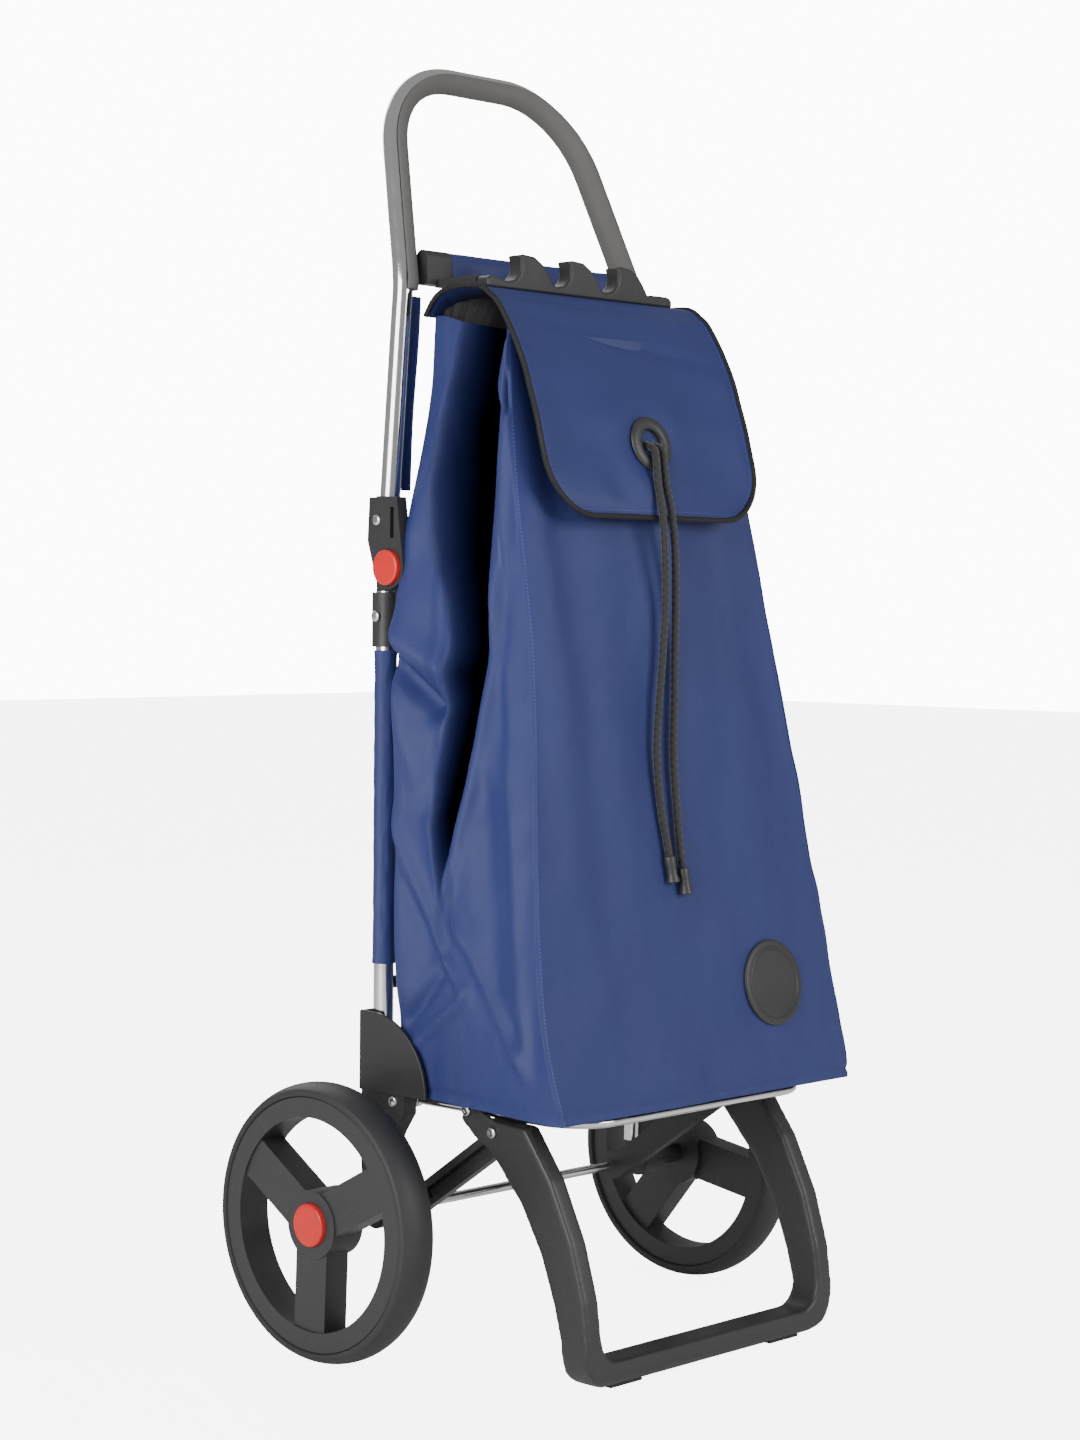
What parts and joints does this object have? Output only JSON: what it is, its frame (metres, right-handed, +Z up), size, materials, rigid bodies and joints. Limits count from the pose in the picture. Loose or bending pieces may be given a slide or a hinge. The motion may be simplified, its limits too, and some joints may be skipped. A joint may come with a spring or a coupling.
{
  "type": "shopping trolley",
  "caption": "Folding shopping trolley: soft bag with flap and drawcords on a tube frame with spoked wheels, a fold-up foot, a hook rail and a hinged loop handle.",
  "frame": {"origin": "on the floor, midway between the wheels and midway between the trolley's front and back", "axes": "+Z up, -Y towards the trolley's front, +X to the right when seen from the front-facing user side"},
  "size_m": [0.469, 0.3285, 1.0365],
  "materials": {
    "polished_tube": "polished",
    "tyre_rubber": "matte",
    "grip_rubber": "soft matte",
    "bag_cloth": "coated twill",
    "black_cloth": "woven",
    "red_plastic": "gloss",
    "board_plastic": "matte",
    "black_plastic": "satin"
  },
  "bodies": {
    "frame": {"axle": "polished_tube", "axle_spacer_left": "black_plastic", "axle_spacer_right": "black_plastic", "lower_tube_left": "polished_tube", "lower_tube_right": "polished_tube", "leg_bracket_left": "black_plastic", "leg_bracket_right": "black_plastic", "bracket_rivets": "polished_tube", "corner_guard_left": "black_plastic", "corner_guard_right": "black_plastic", "rear_crossbar": "black_plastic", "tube_sleeve_left": "bag_cloth", "tube_sleeve_right": "bag_cloth", "hinge_lower_left": "black_plastic", "hinge_lower_right": "black_plastic", "lower_hinge_rivets": "polished_tube", "bag_lower": "bag_cloth", "badge": "black_plastic"},
    "handle": {"handle_tube": "polished_tube", "handle_grip": "grip_rubber", "hinge_upper_left": "black_plastic", "hinge_upper_right": "black_plastic", "upper_hinge_rivets": "polished_tube", "crossbar": "black_plastic", "crossbar_band": "bag_cloth", "crossbar_clip_left": "black_plastic", "crossbar_clip_right": "black_plastic", "hook_rail": "black_plastic", "side_tape_left": "bag_cloth", "side_tape_right": "bag_cloth", "bag_upper": "bag_cloth", "mouth_collar": "black_cloth", "flap_root": "bag_cloth"},
    "flap": {"flap_panel": "bag_cloth", "flap_piping": "black_cloth", "flap_eyelet": "black_plastic", "drawcord_1": "black_cloth", "drawcord_2": "black_cloth", "cord_end_1": "black_plastic", "cord_end_2": "black_plastic"},
    "platform": {"platform_frame": "polished_tube", "base_board": "board_plastic"},
    "foot": {"foot_frame": "black_plastic", "foot_rivets": "polished_tube", "foot_pads": "tyre_rubber"},
    "struts": {"strut_left": "black_plastic", "strut_right": "black_plastic"},
    "wheel_left": {"wheel_rim_left": "black_plastic", "wheel_tyre_left": "tyre_rubber"},
    "wheel_right": {"wheel_rim_right": "black_plastic", "wheel_tyre_right": "tyre_rubber"},
    "hub_button_left": {"hub_button_left": "red_plastic"},
    "hub_button_right": {"hub_button_right": "red_plastic"},
    "hinge_button_left": {"hinge_button_left": "red_plastic"},
    "hinge_button_right": {"hinge_button_right": "red_plastic"}
  },
  "joints": [
    {"name": "handle_fold", "type": "hinge", "parent": "frame", "child": "handle", "pos_m": [0, 0.045, 0.6225], "axis": [1, 0, 0], "range_deg": [0, 134], "deforming": ["bag_upper", "bag_lower", "mouth_collar", "flap_panel", "flap_piping", "drawcord_1", "drawcord_2"]},
    {"name": "flap_open", "type": "hinge", "parent": "handle", "child": "flap", "pos_m": [0, -0.013, 0.842], "axis": [-1, 0, 0], "range_deg": [0, 80]},
    {"name": "platform_fold", "type": "hinge", "parent": "frame", "child": "platform", "pos_m": [0, 0.033, 0.2015], "axis": [-1, 0, 0], "range_deg": [0, 90], "deforming": ["bag_lower"]},
    {"name": "foot_fold", "type": "hinge", "parent": "platform", "child": "foot", "pos_m": [0, -0.034, 0.2015], "axis": [1, 0, 0], "range_deg": [0, 116.1]},
    {"name": "strut_fold", "type": "hinge", "parent": "frame", "child": "struts", "pos_m": [0, 0.054, 0.11], "axis": [-1, 0, 0], "range_deg": [0, 39.7]},
    {"name": "wheel_left_spin", "type": "hinge", "parent": "frame", "child": "wheel_left", "pos_m": [-0.216, 0.054, 0.11], "axis": [-1, 0, 0], "continuous": true},
    {"name": "wheel_right_spin", "type": "hinge", "parent": "frame", "child": "wheel_right", "pos_m": [0.216, 0.054, 0.11], "axis": [-1, 0, 0], "continuous": true},
    {"name": "hub_button_left_press", "type": "slide", "parent": "wheel_left", "child": "hub_button_left", "axis": [1, 0, 0], "range_m": [0, 0.003], "stiffness_N_per_m": 900},
    {"name": "hub_button_right_press", "type": "slide", "parent": "wheel_right", "child": "hub_button_right", "axis": [-1, 0, 0], "range_m": [0, 0.003], "stiffness_N_per_m": 900},
    {"name": "hinge_button_left_press", "type": "slide", "parent": "handle", "child": "hinge_button_left", "axis": [1, 0, 0], "range_m": [0, 0.004], "stiffness_N_per_m": 900},
    {"name": "hinge_button_right_press", "type": "slide", "parent": "handle", "child": "hinge_button_right", "axis": [-1, 0, 0], "range_m": [0, 0.004], "stiffness_N_per_m": 900}
  ],
  "couplings": [
    {"joint": "foot_fold", "follows": "platform_fold", "ratio": 1.2893},
    {"joint": "strut_fold", "follows": "platform_fold", "ratio": 0.4403}
  ]
}
